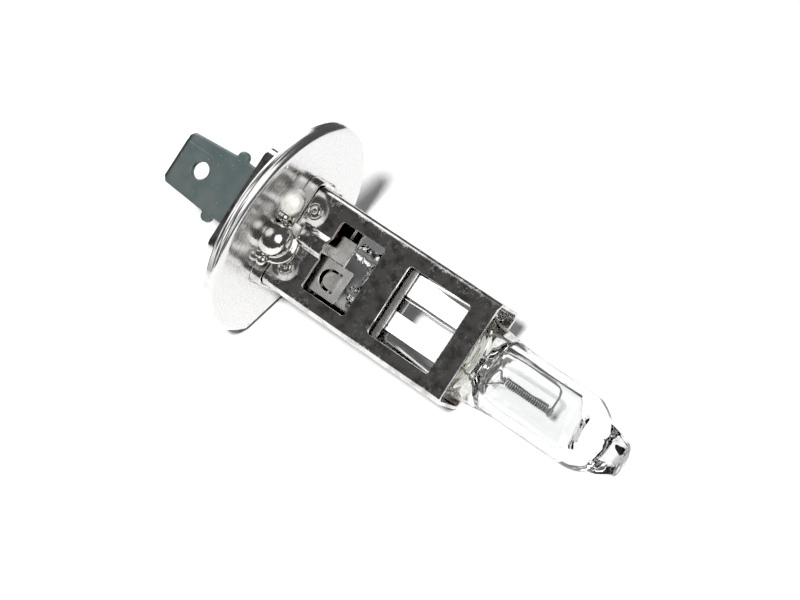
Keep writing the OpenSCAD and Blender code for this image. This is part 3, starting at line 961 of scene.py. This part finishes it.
def ring_beads():
    """Beads of weld metal in the corner between flange and sleeve, one of them frosted."""
    z = FACE_Z
    bright = [
        ball((0.1, 0.9, z + 0.45), (0.66, 0.66, 0.66)),
        ball((0.05, -3.0, z + 0.15), (0.72, 0.75, 0.7)),
        ball((0.3, 2.2, -z), (0.8, 1.1, 0.9)),
        ball((0.3, -2.2, -z), (0.8, 1.1, 0.9)),
    ]
    finish_piece(molten("flange_weld_beads", bright, 6), WELD, "weld_metal", "ring_weld_beads")
    frosted = [
        ball((-0.05, 2.37, z + 0.35), (1.15, 1.3, 0.95)),
        ball((-0.2, 3.3, z + 0.1), (0.7, 0.7, 0.6)),
    ]
    finish_piece(molten("frosted_weld_bead", frosted, 8), FROSTED, "weld_metal", "ring_weld_beads")


def earth_weld():
    """Large ball on a pool of weld metal, with a small bead beside it."""
    z = FACE_Z
    balls = [
        ball((0.7, -1.25, z + 0.9), (1.62, 1.66, 1.55)),
        ball((0.95, -1.38, z + 0.1), (1.95, 2.0, 0.6)),
        ball((0.4, -3.5, z + 0.2), (0.62, 0.62, 0.6)),
    ]
    finish_piece(molten("earth_weld_ball", balls, 3), WELD, "weld_metal", "earth_bead")


# ---------- clips ----------


def pinch_clip(name, node, up):
    """Spring plate that steps from the holder's wall down to the pinch."""
    thick = 0.3
    rear, front = CLIP_LOW.x, CLIP_HIGH.x
    wall, pinch = FACE_Z - SHEET, CLIP_LOW.z + thick
    step = rear + (front - rear) / 3
    path = [(rear, up * wall), (step, up * wall), (step + 0.15, up * pinch), (front, up * pinch)]
    place, run, bends = bent_place(path, 0.35, up)
    half = (CLIP_HIGH.y - CLIP_LOW.y) / 2
    sheet = sheet_mesh(
        rounded_rectangle(0, run, -half, half, 0.35), [], thick, place, bends,
        spaced(-half, half, 0.7), 0.15, edge_profile(0.05))
    finish_sheet(name, sheet, CLIP_STEEL, "spring_steel", node)


# ---------- tab and strip ----------

# Half widths of the tab at its end and root, and the middle and radius of its ears
HALF_END, HALF_ROOT = 2.8, 3.15
EAR_X, EAR_R, EAR_Y = -8.4, 0.6, 3.3
TAB_CORNER = 0.5
# Length and depth that the tab's end is thinned over, on each side, and the coined step's depth
LEAD_IN_L, LEAD_IN_DEPTH = 0.9, 0.2
COIN_DEPTH = 0.06


def tab_outline(rear, front):
    """Tapered tab with an ear on each side."""
    right = [(rear, HALF_END - TAB_CORNER), (rear + 0.25, HALF_END - 0.2), (rear + TAB_CORNER, HALF_END)]
    right += [(EAR_X - EAR_R - 0.3, HALF_ROOT - 0.02), (EAR_X - EAR_R, HALF_ROOT + 0.06)]
    right += on_circle((EAR_X, EAR_Y), EAR_R, np.radians(np.linspace(170, 10, 9)))
    right += [(EAR_X + EAR_R, HALF_ROOT + 0.06), (EAR_X + EAR_R + 0.3, HALF_ROOT), (front, HALF_ROOT)]
    return right + [(x, -y) for x, y in reversed(right)]


def terminal_tab():
    """Push-on tab: thinned at its end, chamfered all round, with a detent hole and a coined step."""
    rear, front = TAB_LOW.x, TAB_HIGH.x
    thick = TAB_HIGH.z - TAB_LOW.z
    middle = (MOUNTS["tab_hole"]["pos_m"][0] / MM, 0)
    hole = on_circle(middle, MOUNTS["tab_hole"]["dims"]["r_mm"], np.linspace(0, 2 * math.pi, 49)[:-1])

    def thinned(u):
        return 1 - smooth_step(u, rear, rear + LEAD_IN_L)

    def place(u, v):
        step = smooth_step(v, 1.68, 1.82) * (1 - smooth_step(u, rear + 3.4, rear + 3.6))
        points = np.stack([u, v, thick / 2 - LEAD_IN_DEPTH * thinned(u) - COIN_DEPTH * step], 1)
        return points, np.tile([0.0, 0.0, 1.0], (len(u), 1))

    edge = [(0.0, 0.16), (0.03, 0.11), (0.2, 0.015), (0.25, 0.0), (0.36, 0.0)]
    hole_edge = [(0.0, 0.16), (0.03, 0.12), (0.13, 0.02), (0.17, 0.0), (0.24, 0.0)]
    fine_end = rear + 4.4
    points, faces = sheet_mesh(
        tab_outline(rear, front), [hole], thick, place,
        merged(spaced(rear, fine_end, 0.2), spaced(fine_end, front, 0.5)),
        merged(spaced(-3.0, 3.0, 0.5), spaced(1.55, 1.95, 0.05)), 0.2, edge, hole_edge)
    points = np.array(points)
    lower = points[len(points) // 2:]
    lower[:, 2] += 2 * LEAD_IN_DEPTH * thinned(lower[:, 0])
    finish_sheet("push_on_tab", (points, faces), TAB_METAL, "terminal_metal", "terminal_blade")


# Radii of the two sides of the U cut, length of its legs, X of its middle, and how far the tongue is
# pressed down
U_OUT, U_IN, U_LEGS = 1.05, 0.82, 0.9
U_X, U_DROP = 6.1, 0.5


def u_cut(u, v):
    """Outline of a U-shaped cut round the middle of its bend, open towards +X."""
    tail = u + U_LEGS
    cut = on_circle((u, v), U_OUT, np.radians(np.linspace(90, 270, 19)))
    cut += [(tail, v - U_OUT), (tail, v - U_IN)]
    cut += on_circle((u, v), U_IN, np.radians(np.linspace(270, 90, 17)))
    return cut + [(tail, v + U_IN), (tail, v + U_OUT)]


def live_strip():
    """Crowned strip from the tab to the live lead. A U cut frees a tongue, which is pressed down."""
    thick = 0.25
    rear, front, y0, y1 = STRIP_LOW.x, STRIP_HIGH.x, STRIP_LOW.y, STRIP_HIGH.y
    low, high = TAB_HIGH.z + thick, STRIP_HIGH.z
    place, run, bends = bent_place([(rear, low), (0.2, low), (1.2, high), (front, high)], 0.5)
    middle_u, middle_v = run - (front - U_X), (y0 + y1) / 2
    half = (U_IN + U_OUT) / 2
    end = middle_u + U_LEGS + 0.3

    def pressed(u, v):
        points, normals = place(u, v)
        bend = np.hypot(u - middle_u, v - middle_v) < half
        legs = (np.abs(v - middle_v) < half) & (u > middle_u) & (u < end)
        drop = np.where(bend | legs, U_DROP * (1 - smooth_step(u, middle_u - 0.4, end)), 0)
        crown = 0.05 * np.cos((v - middle_v) * 1.6)
        points[:, 2] += crown - drop
        return points, normals

    sheet = sheet_mesh(
        rounded_rectangle(0, run, y0, y1, 0.25), [u_cut(middle_u, middle_v)], thick, pressed,
        merged(bends, spaced(middle_u - 1.2, run, 0.15)), spaced(y0, y1, 0.2), 0.15,
        edge_profile(0.04))
    finish_sheet("live_contact_strip", sheet, STRIP_METAL, "strip_metal", "contact_strip")


# ---------- quartz ----------

# Pinch: rear end, half width there, its growth along X, half height and rounding of the rear edge
PINCH_REAR = 8.8
PINCH_REAR_W = 3.09
PINCH_SPREAD = 0.055
PINCH_H = 1.5
REAR_EDGE = 0.25
SHOULDER_BULGE = 0.62
# Dome: its start and length. Tip-off: radius at its end, taper and number of flat sides
DOME_X = 33.0
DOME_L = 3.36
TIP_R = 1.45
TIP_TAPER = 0.4
TIP_CORNERS = 7
# Where along X the pinch turns into the tube in width, height and squareness, the shoulder's bulge comes
# and goes, the tube moves aside, the dome and the tip-off slant, and the flat sides begin
TO_TUBE_W, TO_TUBE_H, TO_ROUND = (22.2, 26.4), (20.2, 24.0), (19.2, 22.6)
BULGE_START, BULGE_END = (19.3, 21.2), (21.6, 25.0)
TO_TUBE_SHIFT, TO_TIP_SHIFT = (21.5, 24.5), (33.5, 36.5)
DOME_SLANT, TIP_SLANT = (31.5, 34.5), (36.0, 37.9)
TO_FACETS = (35.2, 36.4)
FOLD_DEPTH, FOLD_PITCH = 0.05, 0.72
FOLDS_START, FOLDS_END = (20.6, 21.4), (23.0, 24.6)
NIB_R, NIB_RAGGED = 0.8, 0.35


def glass_section(x):
    """Half width, half height, squareness, sideways shift and slant of the glass at x."""
    rear_round = math.sqrt(1 - (max(0.0, PINCH_REAR + REAR_EDGE - x) / REAR_EDGE) ** 2)
    pinch_w = PINCH_REAR_W + PINCH_SPREAD * (x - PINCH_REAR)
    to_tube = smooth_step(x, *TO_TUBE_W)
    bulge = SHOULDER_BULGE * smooth_step(x, *BULGE_START) * (1 - smooth_step(x, *BULGE_END))
    half_w = pinch_w * (1 - to_tube) + TUBE_R * to_tube + bulge
    half_h = PINCH_H + (TUBE_R - PINCH_H) * smooth_step(x, *TO_TUBE_H)
    square = 9.0 - 7.0 * smooth_step(x, *TO_ROUND)
    if x > DOME_X:
        dome = TUBE_R * math.sqrt(max(0.0, 1 - ((x - DOME_X) / DOME_L) ** 2))
        tip_off = TIP_R + TIP_TAPER * (TIP_X - x)
        broken_edge = 1 - 0.15 * smooth_step(x, TIP_X - 0.2, TIP_X)
        half_w = half_h = max(dome, tip_off) * broken_edge
    half_w, half_h = half_w * (0.88 + 0.12 * rear_round), half_h * (0.76 + 0.24 * rear_round)
    shift = TUBE_SHIFT * smooth_step(x, *TO_TUBE_SHIFT) - 0.2 * smooth_step(x, *TO_TIP_SHIFT)
    slant = 0.5 * smooth_step(x, *DOME_SLANT) - 0.25 * smooth_step(x, *TIP_SLANT)
    return half_w, half_h, square, shift, slant


def tip_facets(x, angles):
    """What the radius is times at the tip-off, which is twisted and has flat sides."""
    turn = angles + 0.35 + 0.25 * (x - 35)
    pie = np.mod(turn, 2 * math.pi / TIP_CORNERS) - math.pi / TIP_CORNERS
    flats = 0.93 * math.cos(math.pi / TIP_CORNERS) / np.cos(pie) + 0.07
    return 1 + smooth_step(x, *TO_FACETS) * (flats * 1.05 - 1)


def quartz_body():
    """Outside of the glass: pinch, folded shoulder that bows backwards, tube, dome and tip-off."""
    stations = np.concatenate([
        [8.8, 8.86, 9.0], spaced(9.2, 19.6, 0.5), spaced(19.8, 25.0, 0.16), spaced(25.4, 32.6, 0.5),
        spaced(32.9, TIP_X - 0.2, 0.1), [TIP_X - 0.12, TIP_X - 0.05, TIP_X],
    ])
    sides = 128
    angles = np.linspace(0, 2 * math.pi, sides + 1)[:-1]
    c, s = np.cos(angles), np.sin(angles)
    points = []
    for x in stations:
        half_w, half_h, square, shift, slant = glass_section(x)
        fold = FOLD_DEPTH * math.sin(2 * math.pi * x / FOLD_PITCH) * smooth_step(x, *FOLDS_START)
        half_h += fold * (1 - smooth_step(x, *FOLDS_END))
        r = (np.abs(c / half_w) ** square + np.abs(s / half_h) ** square) ** (-1 / square)
        r = r * tip_facets(x, angles)
        y, z = r * c, r * s
        bow = SHOULDER_BOW * smooth_step(x, SHOULDER_REAR, SHOULDER_REAR + 1.6)
        bow = bow * (1 - smooth_step(x, SHOULDER_FRONT, SHOULDER_FRONT + 1.6))
        points += list(np.column_stack([x - slant * y / TUBE_R - bow * y * y, y + shift, z]))
    return points, ring_faces(len(stations), sides)


def chamber():
    """Skin of the gas space, round at both ends and slanted at the front."""
    r, x0, x1 = CHAMBER_R, CHAMBER_REAR, CHAMBER_FRONT
    rear, front = 1.3, 1.9
    quarter = np.radians(np.linspace(0, 90, 15))
    profile = [(x0, 0.02)]
    profile += [(x0 + rear * (1 - math.cos(a)), r - rear * (1 - math.sin(a))) for a in quarter]
    profile += [(x, r + 0.03 * math.sin(x * 1.3)) for x in spaced(x0 + rear + 0.4, x1 - front - 0.4, 0.6)]
    profile += [(x1 - front * (1 - math.sin(a)), r - front * (1 - math.cos(a))) for a in quarter]
    profile += [(x1, 0.02)]
    angles = np.linspace(0, 2 * math.pi, 97)[:-1]
    points = []
    for x, radius in profile:
        shift = TUBE_SHIFT * smooth_step(x, *TO_TUBE_SHIFT) - 0.1 * smooth_step(x, 31.5, 34.0)
        slant = 0.35 * smooth_step(x, 31.0, 34.0)
        points += [(x - slant * y / r, y + shift, z) for y, z in on_circle((0, 0), radius, angles)]
    return points, ring_faces(len(profile), len(angles))


def nib(y, rear, seed):
    """Ragged sleeve of glass that the pinch leaves round an outer lead."""
    stations, sides = spaced(rear, PINCH_REAR + 0.6, 0.12), 28
    points = []
    for x in stations:
        t = (x - rear) / (stations[-1] - rear)
        r = NIB_R * (0.35 + 0.65 * smooth_step(t, 0, 0.18))
        for k in range(sides):
            c, s = math.cos(2 * math.pi * k / sides), math.sin(2 * math.pi * k / sides)
            ragged = r * (1 + NIB_RAGGED * noise.noise(Vector((x * 1.6 + seed, c * 1.1, s * 1.1))))
            points.append((x, y + ragged * c, ragged * s))
    return points, ring_faces(len(stations), sides)


def combined(obj, other, operation):
    """Applies a boolean with another object, which is then removed."""
    modifier = obj.modifiers.new("cut", "BOOLEAN")
    modifier.operation = operation
    modifier.object = other
    modifier.solver = "EXACT"
    bpy.context.view_layer.update()
    graph = bpy.context.evaluated_depsgraph_get()
    mesh = bpy.data.meshes.new_from_object(obj.evaluated_get(graph), depsgraph=graph)
    obj.modifiers.clear()
    obj.data = mesh
    bpy.data.objects.remove(other)


def press_groove(y, up):
    """Bar that presses a line along the pinch."""
    path = [(x, y + 0.03 * math.sin(x * 1.7), up * 1.56) for x in spaced(PINCH_REAR - 1, 18.9, 0.4)]
    return tube(path, 0.15, 10)


def quartz_bulb():
    obj = new_object("quartz_bulb", *quartz_body())
    live_y, earth_y = ((low.y + high.y) / 2 for low, high in (LIVE_FOIL, EARTH_FOIL))
    nibs = [nib(live_y, 7.9, 0), nib(earth_y, 6.4, 9)]
    grooves = [press_groove(y, up) for y in (-2.0, 0.7) for up in (1, -1)]
    combined(obj, new_object("nibs", *joined(nibs)), "UNION")
    combined(obj, new_object("grooves", *joined(grooves)), "DIFFERENCE")
    combined(obj, new_object("hollow", *chamber()), "DIFFERENCE")
    obj.data.shade_smooth()
    obj.data.set_sharp_from_angle(angle=math.radians(38))
    finish_piece(obj, QUARTZ, "quartz", "quartz_envelope")


# ---------- leads and coil ----------

INNER_LEAD_R = 0.1105

def crinkled_foil(name, node, box):
    """Thin foil with feathered edges and a few lengthwise creases."""
    low, high = box
    rows, columns = 48, 12
    wide = columns + 1
    points, faces = [], []
    for side in (1, -1):
        for i in range(rows + 1):
            for k in range(wide):
                w = k / columns
                x = low.x + (high.x - low.x) * (i / rows)
                y = low.y + (high.y - low.y) * w
                crease = 0.02 * noise.noise(Vector((x * 0.9, y * 3.1, 4.0)))
                half = 0.02 * min(1, 4 * min(w, 1 - w)) + 0.002
                points.append((x, y, crease + side * half))
    size = (rows + 1) * wide
    for a in (i * wide + k for i in range(rows) for k in range(columns)):
        face = [a, a + 1, a + wide + 1, a + wide]
        faces += [face, [j + size for j in reversed(face)]]
    rim = list(range(columns)) + [i * wide + columns for i in range(rows)]
    rim += [size - 1 - k for k in range(columns)] + [(rows - i) * wide for i in range(rows)]
    faces += between(rim, [i + size for i in rim])
    finish_piece(new_object(name, points, faces), FOIL_METAL, "molybdenum", node)


def coil_wire():
    """Close-wound coil with a leg at each end."""
    wire_r, outer_r = 0.06, 0.38
    x0, length, turns, y0 = 25.2, 4.6, 20, -0.35
    r = outer_r - wire_r
    steps = 20
    path = [(23.35, -1.83, 0), (24.2, -1.25, 0), (24.9, y0 - r - 0.05, 0)]
    for i in range(turns * steps + 1):
        a = math.radians(-90 + 360 * i / steps)
        x = x0 + wire_r + (length - 2 * wire_r) * i / (turns * steps)
        sag = 0.05 * math.sin(math.pi * (x - x0) / length)
        path.append((x, y0 + r * math.sin(a) - sag, r * math.cos(a)))
    path += [(x0 + length + 0.1, y0 - r + 0.05, 0), (30.1, y0 - r + 0.1, 0)]
    finish_piece(new_object("tungsten_coil", *tube(path, wire_r, 8)), TUNGSTEN, "tungsten", "filament")


def inner_leads():
    """The kinked short lead, and the long one that bends back to the coil's far end."""
    live_y, earth_y = -1.6, 2.0
    short = smooth_path([
        (18.8, live_y, 0), (21, live_y, 0), (23.25, live_y, 0), (23.45, live_y + 0.2, 0), (24.05, -0.05, 0),
        (24.22, 0.16, 0), (24.42, 0.14, 0), (24.6, -0.15, 0), (24.8, -0.34, 0), (25.1, -0.35, 0),
    ], 0.08)
    long = [(x, earth_y, 0) for x in spaced(18.8, 28.9, 0.5)]
    long += [(29.15 + math.sin(a), 1.0 + math.cos(a), 0) for a in np.radians(np.linspace(0, 90, 9))]
    long += [(30.15, y, 0) for y in (0.6, 0.2, -0.2, -0.6, -0.85)]
    for name, node, path in (
        ("short_lead", "short_inner_lead", short), ("long_lead", "long_inner_lead", long),
    ):
        finish_piece(new_object(name, *tube(path, INNER_LEAD_R)), MOLYBDENUM, "molybdenum", node)


prefocus_flange()
base_sleeve()
holder_shell()
spot_welds()
ring_beads()
earth_weld()
pinch_clip("upper_clip_plate", "upper_pinch_clip", 1)
pinch_clip("lower_clip_plate", "lower_pinch_clip", -1)
terminal_tab()
live_strip()
quartz_bulb()
crinkled_foil("live_foil_strip", "live_foil", LIVE_FOIL)
crinkled_foil("earth_foil_strip", "earth_foil", EARTH_FOIL)
coil_wire()
inner_leads()
finish_piece(softened("ceramic_block", "insulator", 0.12), CERAMIC, "ceramic", "insulator")
finish_piece(softened("earth_ribbon", "earth_strip", 0.04), STRIP_METAL, "strip_metal", "earth_strip")
for kept, finish in (
    ("live_lead_weld", WELD), ("live_outer_lead", MOLYBDENUM), ("earth_outer_lead", MOLYBDENUM),
    ("filament_joints", MOLYBDENUM),
):
    put_on(frame["nodes"][kept], finish)


# ---------- floor, light and camera ----------

# Azimuth, elevation and level of each soft light in the world, and the radii, in degrees, where it is
# full and where it ends
SOFT_LIGHTS = ((-14, 50, 1.2, 20, 28), (143, 26, 2.0, 21, 31))
# Levels of the world low down, at the edge of the dark and in it
BELOW, DUSK, DARK = 1.15, 0.12, 0.115
KEY_AZIMUTH, KEY_ELEVATION = -80, 61
KEY_SIZE, KEY_WATTS = 0.14, 34.5
FLOOR_R = 0.055
FLOOR_GAP = 0.00002
CAMERA_AZIMUTH, CAMERA_ELEVATION, CAMERA_LEAN = -55.94, 53.75, 5.42
CAMERA_DISTANCE, CAMERA_LENS = 0.154, 76.5
CAMERA_AIM = Vector((1.43, -0.38, 0.19)) * MM
BLACK_LEVEL = 0.03


def floor_material():
    n = Surface("pale_floor")
    return n.use(
        Base_Color=n.colours(n.ramp(n.noise(0.02, 2.0), 0.3, 0.7), (0.36, 0.36, 0.365), (0.37, 0.37, 0.37)),
        Roughness=0.6,
    )


def lay_floor():
    """Disc that the lamp rests on, by the flat of its flange and the lowest corner of its holder."""
    flange_low, flange_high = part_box("prefocus_ring")
    holder_low, holder_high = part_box("pinch_holder")
    pitch = math.atan2(holder_low.z - flange_low.z, holder_high.x - flange_high.x)
    angles = np.linspace(0, 2 * math.pi, 97)[:-1]
    mesh = bpy.data.meshes.new("floor")
    points = [(x + 0.012, y, 0) for x, y in on_circle((0, 0), FLOOR_R, angles)]
    mesh.from_pydata(points, [], [list(range(len(points)))])
    lift = Matrix.Translation((0, 0, flange_low.z - FLOOR_GAP))
    mesh.transform(lift @ Matrix.Rotation(-pitch, 4, "Y"))
    floor = add_object("floor", mesh)
    mesh.materials.append(floor_material())


def direction(azimuth, elevation):
    """Unit vector, its azimuth in degrees from +X towards +Y."""
    a, e = math.radians(azimuth), math.radians(elevation)
    return Vector((math.cos(e) * math.cos(a), math.cos(e) * math.sin(a), math.sin(e)))


def key_lamp():
    """Small lamp that casts the shadows. The soft lights take its place in reflections."""
    lamp = bpy.data.lights.new("key", "AREA")
    lamp.shape = "DISK"
    lamp.size = KEY_SIZE
    lamp.energy = KEY_WATTS
    obj = add_object("key", lamp)
    way = direction(KEY_AZIMUTH, KEY_ELEVATION)
    obj.location = Vector((0.01, 0, 0)) + way
    obj.visible_glossy = False
    obj.visible_transmission = False
    obj.rotation_mode = "QUATERNION"
    obj.rotation_quaternion = way.to_track_quat("Z", "Y")


def studio_world():
    """White low down, as if the pale floor went on, and dark above but for two soft lights."""
    world = bpy.data.worlds.new("studio")
    bpy.context.scene.world = world
    n = Nodes(world)
    n.tree.nodes.clear()
    place = n.add("ShaderNodeTexCoord").outputs["Generated"]

    def towards(way):
        dot = n.add("ShaderNodeVectorMath", operation="DOT_PRODUCT")
        dot.inputs[1].default_value = way
        n.feed(dot.inputs[0], place)
        return dot.outputs["Value"]

    height = towards((0, 0, 1))
    level = n.ramp(height, -0.62, -0.4, BELOW, DUSK)
    level = n.plus(level, n.ramp(height, -0.4, -0.1, 0.0, DARK - DUSK))
    for azimuth, elevation, bright, full, none in SOFT_LIGHTS:
        near = towards(direction(azimuth, elevation))
        edge, core = math.cos(math.radians(none)), math.cos(math.radians(full))
        level = n.plus(level, n.ramp(near, edge, core, 0.0, bright))
    background = n.add("ShaderNodeBackground")
    n.feed(background.inputs["Color"], level)
    n.feed(n.add("ShaderNodeOutputWorld").inputs["Surface"], background.outputs["Background"])


def place_camera():
    """The camera stands over the lamp's glass end, to its -Y side, and leans a little."""
    low, high = cad_box
    back = direction(CAMERA_AZIMUTH, CAMERA_ELEVATION)
    camera = bpy.data.cameras.new("camera")
    camera.lens = CAMERA_LENS
    camera.sensor_width = 36
    camera.clip_start, camera.clip_end = 0.005, 5
    obj = add_object("camera", camera)
    obj.rotation_mode = "QUATERNION"
    level = back.to_track_quat("Z", "Y").to_matrix().to_4x4()
    lean = Matrix.Rotation(math.radians(CAMERA_LEAN), 4, "Z")
    at = (low + high) / 2 + CAMERA_AIM + back * CAMERA_DISTANCE
    obj.matrix_world = Matrix.Translation(at) @ level @ lean
    bpy.context.scene.camera = obj


def set_view():
    """Standard view, with blacks as deep as the photo's."""
    view = bpy.context.scene.view_settings
    view.view_transform = "Standard"
    view.use_curve_mapping = True
    view.curve_mapping.black_level = (BLACK_LEVEL,) * 3
    view.curve_mapping.update()


lay_floor()
key_lamp()
studio_world()
place_camera()
set_view()
